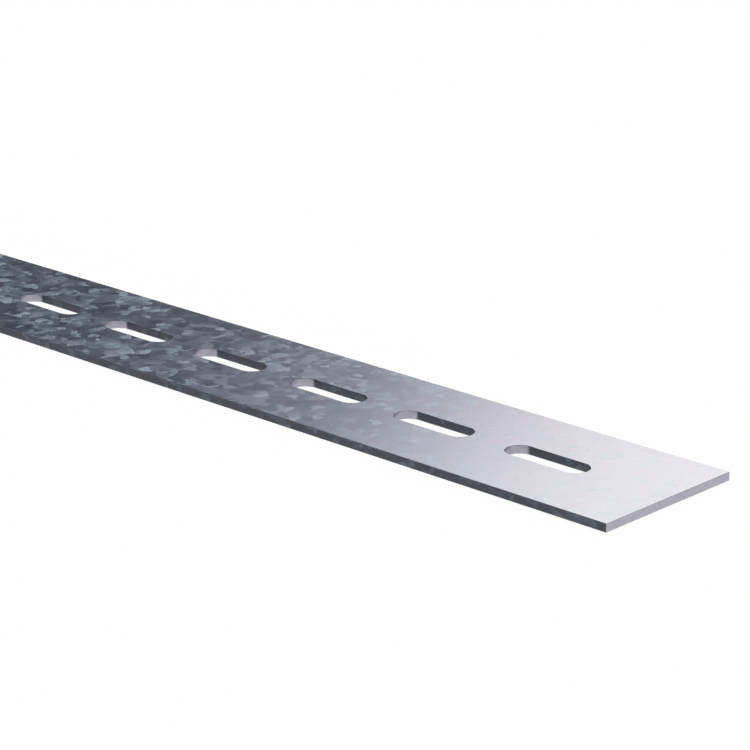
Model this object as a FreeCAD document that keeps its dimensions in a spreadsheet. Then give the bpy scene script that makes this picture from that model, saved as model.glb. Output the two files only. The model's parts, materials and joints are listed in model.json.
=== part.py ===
import FreeCAD, Part
import os
import sys

import Sketcher
from FreeCAD import Vector

# A perforated flat steel strip: one length of hot-dip galvanised sheet, slit to width,
# with a single row of round-ended slots punched along its centre line.
# X runs along the strip, Y across it and Z up through its thickness. The origin is the
# centre of the underside, so the strip lies flat on Z = 0.

# Driving dimensions, in millimetres.
DIMENSIONS = [
    ("strip_length", 1000.0, "cut length"),
    ("strip_width", 63.0, "slit width"),
    ("sheet_thickness", 3.0, "sheet thickness"),
    ("slot_length", 33.5, "slot, tip to tip"),
    ("slot_width", 10.5, "slot, side to side"),
    ("slot_pitch", 50.0, "slot centre to slot centre"),
    ("end_margin", 50.0, "strip end to the centre of the first slot"),
    ("slit_radius", 0.2, "rounding of the four long slit edges"),
    ("rim_radius", 0.1, "rounding of each slot's rim on the side the punch entered"),
]

# A length shorter than this is taken as zero when edges are picked out.
TOLERANCE = 1e-4


def make_sheet(doc):
    """The spreadsheet that holds the driving dimensions and the slot count."""
    sheet = doc.addObject("Spreadsheet::Sheet", "dims")
    for row, (alias, value, note) in enumerate(DIMENSIONS, start=1):
        sheet.set(f"A{row}", alias)
        sheet.set(f"B{row}", str(value))
        sheet.set(f"C{row}", note)
        sheet.setAlias(f"B{row}", alias)
    row = len(DIMENSIONS) + 1
    sheet.set(f"A{row}", "slot_count")
    sheet.set(f"B{row}", "=floor((strip_length - 2 * end_margin) / slot_pitch + 0.001) + 1")
    sheet.set(f"C{row}", "slots that fit between the two end margins")
    sheet.setAlias(f"B{row}", "slot_count")
    doc.recompute()
    return sheet


def plane_of(body, role):
    """One of the body's own origin planes, found by its role."""
    return next(f for f in body.Origin.OriginFeatures if f.Role == role)


def name_constraint(sketch, constraint, name, expression):
    """Adds a named dimension to a sketch and ties it to the spreadsheet."""
    index = sketch.addConstraint(constraint)
    sketch.renameConstraint(index, name)
    sketch.setExpression(f"Constraints.{name}", expression)


def add_outline(body, sheet):
    """The strip's plan: a rectangle centred on the origin."""
    sketch = body.newObject("Sketcher::SketchObject", "strip_outline")
    sketch.AttachmentSupport = [(plane_of(body, "XY_Plane"), "")]
    sketch.MapMode = "FlatFace"
    x, y = sheet.strip_length / 2, sheet.strip_width / 2
    corners = [Vector(-x, -y), Vector(x, -y), Vector(x, y), Vector(-x, y)]
    for i, start in enumerate(corners):
        sketch.addGeometry(Part.LineSegment(start, corners[(i + 1) % 4]), False)
    for i in range(4):
        sketch.addConstraint(Sketcher.Constraint("Coincident", i, 2, (i + 1) % 4, 1))
    for i in (0, 2):
        sketch.addConstraint(Sketcher.Constraint("Horizontal", i))
        sketch.addConstraint(Sketcher.Constraint("Vertical", i + 1))
    sketch.addConstraint(Sketcher.Constraint("Symmetric", 0, 1, 2, 1, -1, 1))
    name_constraint(
        sketch, Sketcher.Constraint("DistanceX", 0, 1, 0, 2, 2 * x), "length", "dims.strip_length"
    )
    name_constraint(
        sketch, Sketcher.Constraint("DistanceY", 1, 1, 1, 2, 2 * y), "width", "dims.strip_width"
    )
    return sketch


def add_plate(body, outline):
    """The unpunched strip."""
    pad = body.newObject("PartDesign::Pad", "flat_strip")
    pad.Profile = outline
    pad.setExpression("Length", "dims.sheet_thickness")
    return pad


def add_slot_sketch(body, sheet):
    """The first slot, at the +X end, drawn on the strip's top face."""
    sketch = body.newObject("Sketcher::SketchObject", "slot_outline")
    sketch.AttachmentSupport = [(plane_of(body, "XY_Plane"), "")]
    sketch.MapMode = "FlatFace"
    sketch.setExpression("AttachmentOffset.Base.z", "dims.sheet_thickness")
    radius = sheet.slot_width / 2
    reach = (sheet.slot_length - sheet.slot_width) / 2
    centre = sheet.strip_length / 2 - sheet.end_margin
    up, quarter = Vector(0, 0, 1), 1.5707963267948966
    right = Part.Circle(Vector(centre + reach, 0), up, radius)
    left = Part.Circle(Vector(centre - reach, 0), up, radius)
    sketch.addGeometry(Part.ArcOfCircle(right, -quarter, quarter), False)
    sketch.addGeometry(
        Part.LineSegment(Vector(centre + reach, radius), Vector(centre - reach, radius)), False
    )
    sketch.addGeometry(Part.ArcOfCircle(left, quarter, 3 * quarter), False)
    sketch.addGeometry(
        Part.LineSegment(Vector(centre - reach, -radius), Vector(centre + reach, -radius)), False
    )
    for first, second in ((0, 1), (1, 2), (2, 3), (3, 0)):
        sketch.addConstraint(Sketcher.Constraint("Tangent", first, 2, second, 1))
    sketch.addConstraint(Sketcher.Constraint("Equal", 0, 2))
    sketch.addConstraint(Sketcher.Constraint("PointOnObject", 0, 3, -1))
    sketch.addConstraint(Sketcher.Constraint("PointOnObject", 2, 3, -1))
    name_constraint(
        sketch, Sketcher.Constraint("Radius", 0, radius), "end_radius", "dims.slot_width / 2"
    )
    name_constraint(
        sketch,
        Sketcher.Constraint("DistanceX", 2, 3, 0, 3, 2 * reach),
        "between_centres",
        "dims.slot_length - dims.slot_width",
    )
    name_constraint(
        sketch,
        Sketcher.Constraint("DistanceX", -1, 1, 0, 3, centre + reach),
        "outer_centre",
        "dims.strip_length / 2 - dims.end_margin + (dims.slot_length - dims.slot_width) / 2",
    )
    return sketch


def add_slots(body, slot_sketch):
    """Punches the first slot right through and repeats it along the strip towards -X."""
    pocket = body.newObject("PartDesign::Pocket", "punched_slot")
    pocket.Profile = slot_sketch
    pocket.Type = "ThroughAll"
    row = body.newObject("PartDesign::LinearPattern", "slot_row")
    row.Originals = [pocket]
    row.Direction = (slot_sketch, ["H_Axis"])
    row.Reversed = True
    row.setExpression("Length", "(dims.slot_count - 1) * dims.slot_pitch")
    row.setExpression("Occurrences", "dims.slot_count")
    body.Tip = row
    return row


def edge_names(shape, wanted):
    """Names of the edges whose middle point passes the test."""
    names = []
    for i, edge in enumerate(shape.Edges, start=1):
        middle = edge.valueAt((edge.FirstParameter + edge.LastParameter) / 2)
        if wanted(edge, middle):
            names.append(f"Edge{i}")
    return names


def add_rounding(body, base, name, names, expression):
    """Rounds the named edges of a feature."""
    fillet = body.newObject("PartDesign::Fillet", name)
    fillet.Base = (base, names)
    fillet.setExpression("Radius", expression)
    body.Tip = fillet
    return fillet


def round_slit_edges(doc, body, base, sheet):
    """The four long edges, top and bottom, that the slitting rolls leave slightly round."""
    side = sheet.strip_width / 2

    def is_slit_edge(edge, middle):
        level = abs(edge.BoundBox.ZMax - edge.BoundBox.ZMin) < TOLERANCE
        return level and abs(abs(middle.y) - side) < TOLERANCE and edge.BoundBox.XLength > TOLERANCE

    names = edge_names(base.Shape, is_slit_edge)
    fillet = add_rounding(body, base, "slit_edges", names, "dims.slit_radius")
    doc.recompute()
    return fillet


def round_slot_rims(doc, body, base, sheet):
    """The rim of every slot on the top face, drawn in slightly by the punch."""
    top, half_slot = sheet.sheet_thickness, sheet.slot_width / 2

    def is_rim(edge, middle):
        on_top = abs(edge.BoundBox.ZMin - top) < TOLERANCE and abs(edge.BoundBox.ZMax - top) < TOLERANCE
        return on_top and abs(middle.y) < half_slot + TOLERANCE and abs(middle.x) < end

    end = sheet.strip_length / 2 - TOLERANCE
    names = edge_names(base.Shape, is_rim)
    fillet = add_rounding(body, base, "slot_rims", names, "dims.rim_radius")
    doc.recompute()
    return fillet


def make_strip(doc, sheet):
    """The whole perforated strip, as one solid."""
    body = doc.addObject("PartDesign::Body", "perforated_strip")
    body.Label = "perforated_strip"
    add_plate(body, add_outline(body, sheet))
    doc.recompute()
    row = add_slots(body, add_slot_sketch(body, sheet))
    doc.recompute()
    slit = round_slit_edges(doc, body, row, sheet)
    round_slot_rims(doc, body, slit, sheet)
    return body


def check(doc, bodies):
    """Stops the build if any feature failed or any sub-part is not a sound solid."""
    for obj in doc.Objects:
        if {"Invalid", "Error"} & set(obj.State):
            sys.exit(f"{obj.Name} failed: {obj.State}")
    for body in bodies:
        if body.Shape.isNull() or not body.Shape.isValid() or len(body.Shape.Solids) != 1:
            sys.exit(f"{body.Label} is not one sound solid")


def main():
    """Builds the document and writes each sub-part's STEP file."""
    doc = FreeCAD.newDocument("perforated_strip_stock")
    sheet = make_sheet(doc)
    bodies = [make_strip(doc, sheet)]
    doc.recompute()
    check(doc, bodies)
    os.makedirs("parts", exist_ok=True)
    for body in bodies:
        body.Shape.exportStep(f"parts/{body.Label}.step")
        box = body.Shape.BoundBox
        print(
            f"{body.Label}: {box.XLength:.2f} x {box.YLength:.2f} x {box.ZLength:.2f} mm,",
            f"{body.Shape.Volume:.1f} mm3, {sheet.slot_count} slots",
        )


main()
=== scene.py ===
import json
import math

import bpy
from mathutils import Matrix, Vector


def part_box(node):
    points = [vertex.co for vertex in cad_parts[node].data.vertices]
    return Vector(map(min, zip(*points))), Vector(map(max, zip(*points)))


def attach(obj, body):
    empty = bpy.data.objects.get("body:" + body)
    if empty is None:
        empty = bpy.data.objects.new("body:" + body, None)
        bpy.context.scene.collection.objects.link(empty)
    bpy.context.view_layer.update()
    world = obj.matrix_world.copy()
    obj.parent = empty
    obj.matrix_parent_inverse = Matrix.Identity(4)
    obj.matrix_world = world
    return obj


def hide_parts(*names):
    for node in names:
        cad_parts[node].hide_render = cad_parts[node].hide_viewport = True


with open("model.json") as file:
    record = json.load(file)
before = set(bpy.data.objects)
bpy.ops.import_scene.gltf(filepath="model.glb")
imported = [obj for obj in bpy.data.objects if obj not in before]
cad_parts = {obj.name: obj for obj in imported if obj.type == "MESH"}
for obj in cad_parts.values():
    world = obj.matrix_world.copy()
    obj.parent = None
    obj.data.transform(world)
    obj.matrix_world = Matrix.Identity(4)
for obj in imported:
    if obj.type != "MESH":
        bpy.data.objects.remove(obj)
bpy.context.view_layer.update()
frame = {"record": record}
print("frame loaded")


# Sizes that come from the CAD model, in metres. Each slot mount is the middle of a pair of slots.
stripLow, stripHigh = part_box("perforated_strip")
slotMounts = [m for m in frame["record"]["mounts"] if m["kind"] == "bolt_pattern"]
slotSizes = slotMounts[0]["dims"]
slotWidth = 2 * slotSizes["hole_r_mm"] / 1000
slotLength = slotSizes["slot_length_mm"] / 1000
slotPitch = slotSizes["spacing_x_mm"] / 1000
stripLength = stripHigh.x - stripLow.x
stripWidth = stripHigh.y - stripLow.y
stripThickness = stripHigh.z - stripLow.z
firstSlotX = max(m["pos_m"][0] for m in slotMounts) + slotPitch / 2
slotCount = round(2 * firstSlotX / slotPitch) + 1
halfLength, halfWidth, halfPitch = stripLength / 2, stripWidth / 2, slotPitch / 2
near = 1e-5  # points closer than this are taken as one


# Short helpers for selecting parts of a mesh. They end in edit mode, apart from clearSelection.
def selectAll():
    bpy.ops.object.mode_set(mode="EDIT")
    bpy.ops.mesh.select_all(action="SELECT")


def clearSelection(obj):
    bpy.ops.object.mode_set(mode="OBJECT")
    for item in (*obj.data.vertices, *obj.data.edges, *obj.data.polygons):
        item.select = False


def selectVerts(obj, wanted):
    clearSelection(obj)
    for vertex in obj.data.vertices:
        vertex.select = wanted(vertex.co)
    bpy.ops.object.mode_set(mode="EDIT")
    bpy.ops.mesh.select_mode(type="VERT")


def selectEdges(obj, wanted):
    clearSelection(obj)
    vertices = obj.data.vertices
    for edge in obj.data.edges:
        ends = [vertices[i] for i in edge.vertices]
        if wanted(*(end.co for end in ends)):
            edge.select = ends[0].select = ends[1].select = True
    bpy.ops.object.mode_set(mode="EDIT")
    bpy.ops.mesh.select_mode(type="EDGE")


# The strip: one pitch of plate is shaped around one slot, repeated, given its end lands and its
# thickness, and then the punched, slit and cropped edges are rounded.
stripValues = {
    "arcSteps": 24,  # an even number of segments in each quarter of a slot's round ends
    "arcProfile": 0.5,  # shape of everything rounded, where 0.5 is an arc of a circle
    "rimRadius": 0.0001,  # drawn-in rim on the side the punch entered
    "rimSteps": 3,
    "slitRadius": 0.0002,  # the long edges from the slitting rolls
    "slitSteps": 3,
    "breakOut": 0.00006,  # sharp rims under the slots and at the two cropped ends
    "breakSteps": 1,
    "smoothAngle": 32,  # degrees
}


def makeSlotModule():
    centre = Vector((firstSlotX, 0, stripHigh.z))
    bpy.ops.object.select_all(action="DESELECT")
    bpy.ops.mesh.primitive_plane_add(size=1, location=centre)
    strip = bpy.context.active_object
    strip.name = strip.data.name = "perforatedStrip"
    strip.scale = (slotLength, slotWidth, 1)
    bpy.ops.object.transform_apply(location=True, rotation=True, scale=True)
    selectAll()
    bpy.ops.mesh.bevel(
        offset=slotWidth / 2,
        segments=stripValues["arcSteps"],
        affect="VERTICES",
        profile=stripValues["arcProfile"],
    )
    bpy.ops.mesh.remove_doubles(threshold=near)
    # the slot's outline is drawn out to the edges of the plate
    bpy.ops.mesh.select_mode(type="EDGE")
    bpy.ops.mesh.select_all(action="SELECT")
    bpy.ops.mesh.delete(type="ONLY_FACE")
    bpy.ops.mesh.select_all(action="SELECT")
    bpy.ops.mesh.extrude_edges_move()
    # the points half way round the four arcs become the corners of the plate
    reach = (slotLength - slotWidth) / 2
    diagonal = slotWidth / 2 * math.sqrt(0.5)
    stretch = (halfPitch / (reach + diagonal), halfWidth / diagonal, 1)
    bpy.ops.transform.resize(value=stretch, center_override=centre)
    for side in (-1, 1):
        edgeY = centre + Vector((0, side * halfWidth, 0))
        selectVerts(strip, lambda p: side * p.y > halfWidth - near)
        bpy.ops.transform.resize(value=(1, 0, 1), center_override=edgeY)
        edgeX = centre + Vector((side * halfPitch, 0, 0))
        selectVerts(strip, lambda p: side * (p.x - centre.x) > halfPitch - near)
        bpy.ops.transform.resize(value=(0, 1, 1), center_override=edgeX)
    bpy.ops.object.mode_set(mode="OBJECT")
    return strip


def repeatSlots(strip):
    row = strip.modifiers.new("slot row", "ARRAY")
    row.count = slotCount
    row.use_relative_offset = False
    row.use_constant_offset = True
    row.constant_offset_displace = (-slotPitch, 0, 0)
    row.use_merge_vertices = True
    row.merge_threshold = near
    bpy.ops.object.modifier_apply(modifier=row.name)


def addEndLands(strip):
    rowEnd = firstSlotX + halfPitch
    land = stripHigh.x - rowEnd
    for side in (-1, 1):
        selectEdges(strip, lambda a, b: min(side * a.x, side * b.x) > rowEnd - near)
        bpy.ops.mesh.extrude_edges_move()
        bpy.ops.transform.translate(value=(side * land, 0, 0))
        bpy.ops.object.mode_set(mode="OBJECT")


def thickenPlate(strip):
    sheet = strip.modifiers.new("sheet", "SOLIDIFY")
    sheet.thickness = stripThickness
    sheet.offset = -1
    bpy.ops.object.modifier_apply(modifier=sheet.name)
    selectAll()
    bpy.ops.mesh.normals_make_consistent(inside=False)
    bpy.ops.object.mode_set(mode="OBJECT")


# The next few tell by an edge's two end points which edge it is. This one gives how far along the
# strip a point is from the middle of the slot nearest to it.
def fromSlot(p):
    return abs((p.x - firstSlotX + halfPitch) % slotPitch - halfPitch)


def isSlotRim(a, b, z):
    level = max(abs(a.z - z), abs(b.z - z)) < near
    inRow = max(abs(a.y), abs(b.y)) < slotWidth / 2 + near
    inSlot = max(fromSlot(a), fromSlot(b)) < slotLength / 2 + near
    offEnds = max(abs(a.x), abs(b.x)) < halfLength - near
    return level and inRow and inSlot and offEnds


def isTopRim(a, b):
    return isSlotRim(a, b, stripHigh.z)


def isUnderRim(a, b):
    return isSlotRim(a, b, stripLow.z)


def isLongEdge(a, b):
    onSide = a.y * b.y > (halfWidth - near) ** 2
    return onSide and abs(a.z - b.z) < near and abs(a.x - b.x) > near


def isEndEdge(a, b):
    onEnd = a.x * b.x > (halfLength - near) ** 2
    return onEnd and abs(a.z - b.z) < near


def roundEdges(strip):
    for wanted, radius, steps in (
        (isTopRim, "rimRadius", "rimSteps"),
        (isLongEdge, "slitRadius", "slitSteps"),
        (isEndEdge, "breakOut", "breakSteps"),
        (isUnderRim, "breakOut", "breakSteps"),
    ):
        selectEdges(strip, wanted)
        bpy.ops.mesh.bevel(
            offset=stripValues[radius],
            segments=stripValues[steps],
            affect="EDGES",
            profile=stripValues["arcProfile"],
        )
    # rounded edges that meet at a corner leave doubled points there
    selectAll()
    bpy.ops.mesh.remove_doubles(threshold=near / 10)
    bpy.ops.object.mode_set(mode="OBJECT")


def finishStrip(strip):
    bpy.ops.object.shade_smooth_by_angle(angle=math.radians(stripValues["smoothAngle"]))
    weighted = strip.modifiers.new("weighted normals", "WEIGHTED_NORMAL")
    weighted.keep_sharp = True
    bpy.ops.object.modifier_apply(modifier=weighted.name)


def makeStrip():
    strip = makeSlotModule()
    repeatSlots(strip)
    addEndLands(strip)
    thickenPlate(strip)
    roundEdges(strip)
    finishStrip(strip)
    print("strip modelled:", len(strip.data.polygons), "faces")
    return strip


# Short helpers for node trees. Where they take a value, another node's output will do as well.
mixSockets = {"FLOAT": (0, 2, 3, 0), "RGBA": (0, 6, 7, 2)}  # for factor, first, second, result
rangeStart = {"FLOAT": 0, "FLOAT_VECTOR": 6}  # first of the five sockets that mapRange sets


def addNode(tree, kind, **values):
    node = tree.nodes.new(kind)
    for name, value in values.items():
        setattr(node, name, value)
    return node


def setInput(tree, socket, value):
    if isinstance(value, bpy.types.NodeSocket):
        tree.links.new(value, socket)
    else:
        socket.default_value = value


def mathNode(tree, operation, a, b=0.0, clamp=False):
    node = addNode(tree, "ShaderNodeMath", operation=operation, use_clamp=clamp)
    setInput(tree, node.inputs[0], a)
    setInput(tree, node.inputs[1], b)
    return node.outputs[0]


def vectorNode(tree, operation, a, b=(0, 0, 0)):
    node = addNode(tree, "ShaderNodeVectorMath", operation=operation)
    setInput(tree, node.inputs[0], a)
    setInput(tree, node.inputs["Scale" if operation == "SCALE" else 1], b)
    return node.outputs["Value" if operation == "DOT_PRODUCT" else "Vector"]


def splitVector(tree, vector):
    node = addNode(tree, "ShaderNodeSeparateXYZ")
    setInput(tree, node.inputs[0], vector)
    return node.outputs


# Values past the ends of the range are held at its ends.
def mapRange(tree, value, low, high, outLow=0.0, outHigh=1.0, smooth=False, kind="FLOAT"):
    node = addNode(tree, "ShaderNodeMapRange", data_type=kind)
    node.interpolation_type = "SMOOTHSTEP" if smooth else "LINEAR"
    values = (value, low, high, outLow, outHigh)
    for number, item in enumerate(values, rangeStart[kind]):
        setInput(tree, node.inputs[number], item)
    return node.outputs["Result" if kind == "FLOAT" else "Vector"]


def mixNode(tree, factor, a, b, kind="RGBA"):
    node = addNode(tree, "ShaderNodeMix", data_type=kind)
    *numbers, result = mixSockets[kind]
    for number, item in zip(numbers, (factor, a, b)):
        setInput(tree, node.inputs[number], item)
    return node.outputs[result]


def newGroup(name, inputs, outputs):
    group = bpy.data.node_groups.new(name, "ShaderNodeTree")
    for label, kind, value in inputs:
        socket = group.interface.new_socket(label, in_out="INPUT", socket_type=kind)
        socket.default_value = value
    for label, kind in outputs:
        group.interface.new_socket(label, in_out="OUTPUT", socket_type=kind)
    entry = group.nodes.new("NodeGroupInput")
    leave = group.nodes.new("NodeGroupOutput")
    return group, entry.outputs, leave.inputs


def emptyTree(owner):
    owner.use_nodes = True
    owner.node_tree.nodes.clear()
    return owner.node_tree


def newMaterial(name):
    material = bpy.data.materials.new(name)
    tree = emptyTree(material)
    leave = addNode(tree, "ShaderNodeOutputMaterial")
    return material, tree, leave.inputs["Surface"]


def newMetal(name):
    material, tree, surface = newMaterial(name)
    shader = addNode(tree, "ShaderNodeBsdfPrincipled")
    tree.links.new(shader.outputs[0], surface)
    return material, tree, shader


# Spangle: the zinc froze in crystals that overlap like flakes, each shaded from one side to the
# other. Tones run from 0 for the darkest crystals to about 1 for the brightest.
spangleValues = {
    "layers": (  # the first covers the whole plate, the others a share of it
        {"size": 0.0094, "toneRange": 0.85, "start": (0, 0, 0)},
        {"size": 0.0064, "toneRange": 1.0, "start": (0.37, 0.222, 0), "share": 0.6},
        {"size": 0.004, "toneRange": 1.0, "start": (0.71, 0.426, 0), "share": 0.52},
    ),
    "cover": 0.9,  # how far the upper crystals hide those below
    "shading": 0.4,  # change of tone across one crystal
    "swirlSize": 0.0030,  # bends in the crystals' borders: their size, reach and detail
    "swirlReach": 0.0026,
    "swirlDetail": 1,
    "toneLimits": (0.02, 0.97),  # mixed tones that count as the darkest and the brightest
    "lowest": 0.02,  # the darkest tone that results
    "evenRise": 0.49,  # rise of the tones from there, and what the brightest crystals get on top
    "lateRise": 0.52,
    "latePower": 5,  # the higher it is, the fewer crystals are that bright
}
middleTone = 0.5  # middle of the tones, and of each part of a cell's or a noise's colour
middleColour = (middleTone, middleTone, middleTone)


def addCrystals(group, place, layer):
    at = vectorNode(group, "ADD", place, layer["start"])
    cells = addNode(group, "ShaderNodeTexVoronoi", feature="F1")
    setInput(group, cells.inputs["Vector"], at)
    cells.inputs["Scale"].default_value = 1 / layer["size"]
    inside = vectorNode(group, "SUBTRACT", at, cells.outputs["Position"])
    inside = vectorNode(group, "SCALE", inside, 1 / layer["size"])
    lean = vectorNode(group, "SUBTRACT", cells.outputs["Color"], middleColour)
    shade = vectorNode(group, "DOT_PRODUCT", inside, lean)
    shade = mathNode(group, "MULTIPLY", shade, spangleValues["shading"])
    parts = splitVector(group, cells.outputs["Color"])
    tone = mathNode(group, "SUBTRACT", parts["X"], middleTone)
    tone = mathNode(group, "MULTIPLY", tone, layer["toneRange"])
    tone = mathNode(group, "ADD", tone, middleTone)
    return mathNode(group, "ADD", tone, shade), lean, parts["Z"]


def addSwirl(group, place):
    swirl = addNode(group, "ShaderNodeTexNoise", noise_dimensions="3D")
    setInput(group, swirl.inputs["Vector"], place)
    swirl.inputs["Scale"].default_value = 1 / spangleValues["swirlSize"]
    swirl.inputs["Detail"].default_value = spangleValues["swirlDetail"]
    bend = vectorNode(group, "SUBTRACT", swirl.outputs["Color"], middleColour)
    bend = vectorNode(group, "SCALE", bend, spangleValues["swirlReach"])
    return vectorNode(group, "ADD", place, bend)


def shapeTone(group, tone):
    tone = mapRange(group, tone, *spangleValues["toneLimits"])
    late = mathNode(group, "POWER", tone, spangleValues["latePower"])
    late = mathNode(group, "MULTIPLY", late, spangleValues["lateRise"])
    even = mathNode(group, "MULTIPLY", tone, spangleValues["evenRise"])
    return mathNode(group, "ADD", mathNode(group, "ADD", even, late), spangleValues["lowest"])


def makeSpangleGroup():
    group, given, result = newGroup(
        "spangle",
        [("Seed", "NodeSocketVector", (0, 0, 0)), ("Stretch", "NodeSocketVector", (1, 1, 1))],
        [("Tone", "NodeSocketFloat"), ("Tint", "NodeSocketFloat"), ("Lean", "NodeSocketVector")],
    )
    place = addNode(group, "ShaderNodeTexCoord").outputs["Object"]
    place = vectorNode(group, "MULTIPLY", place, given["Stretch"])
    place = addSwirl(group, vectorNode(group, "ADD", place, given["Seed"]))
    bottom, *upper = spangleValues["layers"]
    tone, lean, _ = addCrystals(group, place, bottom)
    for layer in upper:
        newTone, newLean, pick = addCrystals(group, place, layer)
        shown = mathNode(group, "LESS_THAN", pick, layer["share"])
        shown = mathNode(group, "MULTIPLY", shown, spangleValues["cover"])
        tone = mixNode(group, shown, tone, newTone, kind="FLOAT")
        lean = mixNode(group, shown, lean, newLean)
    tint = mathNode(group, "ADD", splitVector(group, lean)["Y"], middleTone)
    group.links.new(shapeTone(group, tone), result["Tone"])
    group.links.new(tint, result["Tint"])
    group.links.new(lean, result["Lean"])
    return group


# Zinc face: the flat top and underside.
zincFaceValues = {
    "flatFrom": 0.98,  # upward or downward part of the normal from which a face counts as flat
    "seed": (3.0, 0.9, 0),  # which part of the endless pattern the strip shows
    "plain": (0.865, 0.922, 0.974, 1),  # colour of the darkest crystals
    "warm": (1.0, 0.94, 0.98, 1),  # the two colours between which the brighter ones lie
    "cool": (0.90, 0.98, 1.0, 1),
    "tintedTones": (0.0, 0.75),  # from where to where plain turns into warm or cool
    "grazing": (1.0, 0.82, 0.857, 1),  # tint of the mirror image at a flat angle
    "roughness": (0.20, 0.22),  # of the darkest and the brightest crystals
    "bloom": (0.0, 0.40),  # share of matt bloom on the darkest and the brightest crystals
    "lean": (0.003, 0.003, 0),  # how far crystals lean, each in its own direction
    "brightLean": (-0.015, 0, 0),  # how far the brightest crystals lean along the strip
}


def leanNormal(tree, flakes):
    normal = addNode(tree, "ShaderNodeNewGeometry").outputs["Normal"]
    own = vectorNode(tree, "MULTIPLY", flakes["Lean"], zincFaceValues["lean"])
    bright = vectorNode(tree, "SCALE", zincFaceValues["brightLean"], flakes["Tone"])
    lean = vectorNode(tree, "ADD", own, bright)
    return vectorNode(tree, "NORMALIZE", vectorNode(tree, "ADD", normal, lean))


def makeZincFace(spangle):
    material, tree, shader = newMetal("zincFace")
    node = addNode(tree, "ShaderNodeGroup", node_tree=spangle)
    node.inputs["Seed"].default_value = zincFaceValues["seed"]
    flakes = node.outputs
    own = mixNode(tree, flakes["Tint"], zincFaceValues["warm"], zincFaceValues["cool"])
    tinted = mapRange(tree, flakes["Tone"], *zincFaceValues["tintedTones"])
    colour = mixNode(tree, tinted, zincFaceValues["plain"], own)
    roughness = mapRange(tree, flakes["Tone"], 0, 1, *zincFaceValues["roughness"])
    low, high = zincFaceValues["bloom"]
    metallic = mapRange(tree, flakes["Tone"], 0, 1, 1 - low, 1 - high)
    tree.links.new(colour, shader.inputs["Base Color"])
    tree.links.new(roughness, shader.inputs["Roughness"])
    tree.links.new(metallic, shader.inputs["Metallic"])
    tree.links.new(leanNormal(tree, flakes), shader.inputs["Normal"])
    shader.inputs["Specular Tint"].default_value = zincFaceValues["grazing"]
    return material


# Cut edge: the slit sides, the slot walls and the cropped ends. Their colour holds painted light
# and shade: the walls that face the direction below or the opposite way are painted light, as if
# they mirrored a bright surround, and those square to them are painted in shade.
cutEdgeValues = {
    "paintedLightToward": -24,  # degrees round from +X; walls facing this way or the opposite way get painted light
    "paintedLightSpan": (0.44, 0.68),  # cosine of the angle from there at which the painted light comes in
    "dullSpan": (0.15, 0.44),  # and at which the painted shade turns to the darker steel
    # painted shade on the walls square to that direction
    "shade": (0.032, 0.033, 0.044, 1),
    # darker cut steel, with painted shade in it
    "dull": (0.081, 0.084, 0.109, 1),
    # painted light, as if these walls and the cropped ends mirrored a bright surround
    "light": (0.46, 0.447, 0.522, 1),
    "patch": (0.13, 0.16, 0.195, 1),  # zinc crystals on the darker walls
    "patchTones": (0.3, 0.95),
    "patchStretch": (1.2, 1.2, 1.3),  # above 1 the crystals are finer than on the zinc face
    # painted shade on the rounded rims: a colour darker than the zinc face and the painted light
    # keeps them from showing a bright outline
    "rim": (0.20, 0.20, 0.225, 1),
    "rimSpan": (0.15, 0.5),  # upward part of the normal at which a wall turns into its rim
    "roughness": (0.35, 0.5),
}


def makeCutEdge(spangle):
    material, tree, shader = newMetal("cutEdge")
    flakes = addNode(tree, "ShaderNodeGroup", node_tree=spangle)
    flakes.inputs["Stretch"].default_value = cutEdgeValues["patchStretch"]
    tone = flakes.outputs["Tone"]
    normal = addNode(tree, "ShaderNodeNewGeometry").outputs["Normal"]
    # painted light and shade by which way a wall faces: those facing this direction or the opposite
    # way are painted light
    turn = math.radians(cutEdgeValues["paintedLightToward"])
    axis = (math.cos(turn), math.sin(turn), 0)
    facing = mathNode(tree, "ABSOLUTE", vectorNode(tree, "DOT_PRODUCT", normal, axis))
    paintedLight = mapRange(tree, facing, *cutEdgeValues["paintedLightSpan"], smooth=True)
    shaded = mapRange(tree, facing, *cutEdgeValues["dullSpan"])
    patch = mapRange(tree, tone, *cutEdgeValues["patchTones"])
    rim = splitVector(tree, normal)["Z"]
    rim = mapRange(tree, rim, *cutEdgeValues["rimSpan"], smooth=True)
    # painted shade on the walls square to that direction, turning to the darker steel, which holds
    # painted shade too
    colour = mixNode(tree, shaded, cutEdgeValues["shade"], cutEdgeValues["dull"])
    colour = mixNode(tree, patch, colour, cutEdgeValues["patch"])
    colour = mixNode(tree, paintedLight, colour, cutEdgeValues["light"])
    # painted shade on the rims, over the painted light and shade of the walls
    colour = mixNode(tree, rim, colour, cutEdgeValues["rim"])
    roughness = mapRange(tree, tone, 0, 1, *cutEdgeValues["roughness"])
    tree.links.new(colour, shader.inputs["Base Color"])
    tree.links.new(roughness, shader.inputs["Roughness"])
    shader.inputs["Metallic"].default_value = 1
    return material


def dressStrip(strip):
    spangle = makeSpangleGroup()
    strip.data.materials.append(makeZincFace(spangle))
    strip.data.materials.append(makeCutEdge(spangle))
    for face in strip.data.polygons:
        face.material_index = 0 if abs(face.normal.z) > zincFaceValues["flatFrom"] else 1
    print("strip dressed")


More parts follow.
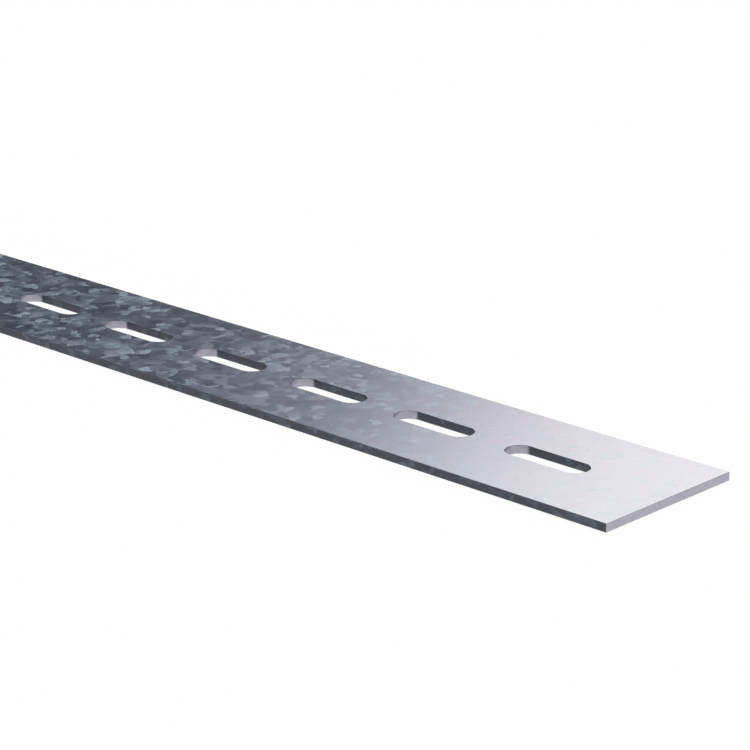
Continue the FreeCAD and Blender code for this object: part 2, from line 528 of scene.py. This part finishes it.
# The studio: a pale floor and a soft surround. Two opposite parts of the surround are dark, so that
# the metal shows both its bright and its dark side.
studioValues = {
    "floorSize": 80,
    "floorGap": 0.00002,  # how far the floor lies below the strip
    "floorWhite": 0.93,  # share of the floor's white that shadow leaves as it is
    "floorOwn": 1.02,  # strength of that white
    "floorColour": (0.95, 0.76, 0.72, 1),  # of the rest, and of the light it throws back
    "darkToward": 168,  # middle of a dark part, degrees round from +X
    "darkEdge": 0.344,  # squared cosine of the angle from there where it begins
    "darkRise": 0.055,  # how much more that is where it is full
    "blueLate": 0.006,  # how much later blue gets dark than red and green
    "darkSlant": 0.85,  # how much the dark parts narrow with height, as far up as slantTop
    "slantTop": 0.42,
    "dark": (0.0355, 0.0455, 0.0635),
    "white": (1, 1, 1, 1),
    "grey": (0.58, 0.60, 0.63, 1),  # the white parts fade to grey in their middle
    "greySpan": (0.02, 0.3),  # squared cosines between which the grey gives way
    "overhead": (0.42, 0.405, 0.39, 1),
    "overheadFade": (0.50, 0.86),  # sine of the heights between which the sides go to overhead
    "skyColour": (0.45, 0.82, 1.02),
    "skyStrength": 1.27,
    "skyAngle": 120,  # how wide the lamp is, in degrees
}


def seenDirectly(tree):
    rays = addNode(tree, "ShaderNodeLightPath").outputs
    seen = mathNode(tree, "ADD", rays["Is Camera Ray"], rays["Is Glossy Ray"])
    return mathNode(tree, "ADD", seen, rays["Is Transmission Ray"], clamp=True)


# The camera and mirror images see a nearly even white. All other light meets the floor's colour.
def makeFloor():
    place = (0, 0, stripLow.z - studioValues["floorGap"])
    bpy.ops.mesh.primitive_plane_add(size=studioValues["floorSize"], location=place)
    floor = bpy.context.active_object
    floor.name = "studioFloor"
    material, tree, surface = newMaterial("paleFloor")
    diffuse = addNode(tree, "ShaderNodeBsdfDiffuse")
    diffuse.inputs["Color"].default_value = studioValues["floorColour"]
    own = addNode(tree, "ShaderNodeEmission")
    own.inputs["Strength"].default_value = studioValues["floorOwn"]
    mixed = addNode(tree, "ShaderNodeMixShader")
    share = mathNode(tree, "MULTIPLY", seenDirectly(tree), studioValues["floorWhite"])
    for number, item in enumerate((share, diffuse.outputs[0], own.outputs[0])):
        setInput(tree, mixed.inputs[number], item)
    tree.links.new(mixed.outputs[0], surface)
    floor.data.materials.append(material)


def addSides(tree, direction, height):
    turn = math.radians(studioValues["darkToward"])
    axis = (math.cos(turn), math.sin(turn), 0)
    along = mathNode(tree, "ABSOLUTE", vectorNode(tree, "DOT_PRODUCT", direction, axis))
    level = mathNode(tree, "SUBTRACT", 1, mathNode(tree, "MULTIPLY", height, height))
    squared = mathNode(tree, "DIVIDE", mathNode(tree, "POWER", along, 2), level)
    slant = mathNode(tree, "MINIMUM", height, studioValues["slantTop"])
    slant = mathNode(tree, "MULTIPLY", slant, studioValues["darkSlant"])
    edge = studioValues["darkEdge"]
    begin = (edge, edge, edge + studioValues["blueLate"])
    full = [value + studioValues["darkRise"] for value in begin]
    light, dark = studioValues["white"][:3], studioValues["dark"]
    slanted = mathNode(tree, "SUBTRACT", squared, slant)
    sides = mapRange(tree, slanted, begin, full, light, dark, smooth=True, kind="FLOAT_VECTOR")
    ungrey = mapRange(tree, squared, *studioValues["greySpan"], smooth=True)
    return mixNode(tree, ungrey, studioValues["grey"], sides)


def makeSurround():
    world = bpy.data.worlds.new("softSurround")
    tree = emptyTree(world)
    direction = addNode(tree, "ShaderNodeTexCoord").outputs["Generated"]
    height = splitVector(tree, direction)["Z"]
    fade = mapRange(tree, height, *studioValues["overheadFade"], smooth=True)
    colour = mixNode(tree, fade, addSides(tree, direction, height), studioValues["overhead"])
    camera = addNode(tree, "ShaderNodeLightPath").outputs["Is Camera Ray"]
    colour = mixNode(tree, camera, colour, studioValues["white"])
    light = addNode(tree, "ShaderNodeBackground")
    leave = addNode(tree, "ShaderNodeOutputWorld")
    tree.links.new(colour, light.inputs["Color"])
    tree.links.new(light.outputs[0], leave.inputs["Surface"])
    bpy.context.scene.world = world


# A soft lamp straight above lights the matt crystals. It is left out of the mirror images, so that
# the metal mirrors only the surround and the floor.
def makeSkyLamp():
    lamp = bpy.data.lights.new("skyLamp", "SUN")
    lamp.color = studioValues["skyColour"]
    lamp.energy = studioValues["skyStrength"]
    lamp.angle = math.radians(studioValues["skyAngle"])
    sky = bpy.data.objects.new("skyLamp", lamp)
    sky.visible_glossy = False
    bpy.context.scene.collection.objects.link(sky)


# The camera, fitted to the strip's edges and slots in the photograph.
cameraValues = {
    "place": (0.97183, -0.63092, 0.30333),
    "turn": (71.604, -0.126, 43.571),  # degrees: tilt, roll, heading
    "lens": 128.152,  # millimetres, like the sensor's width
    "sensor": 36,
}


def makeCamera():
    data = bpy.data.cameras.new("camera")
    data.lens = cameraValues["lens"]
    data.sensor_width = cameraValues["sensor"]
    camera = bpy.data.objects.new("camera", data)
    camera.location = cameraValues["place"]
    camera.rotation_euler = [math.radians(a) for a in cameraValues["turn"]]
    bpy.context.scene.collection.objects.link(camera)
    bpy.context.scene.camera = camera


bpy.context.scene.view_settings.view_transform = "Standard"
makeCamera()
strip = makeStrip()
dressStrip(strip)
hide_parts("perforated_strip")
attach(strip, "root")
makeFloor()
makeSurround()
makeSkyLamp()
print("studio set")
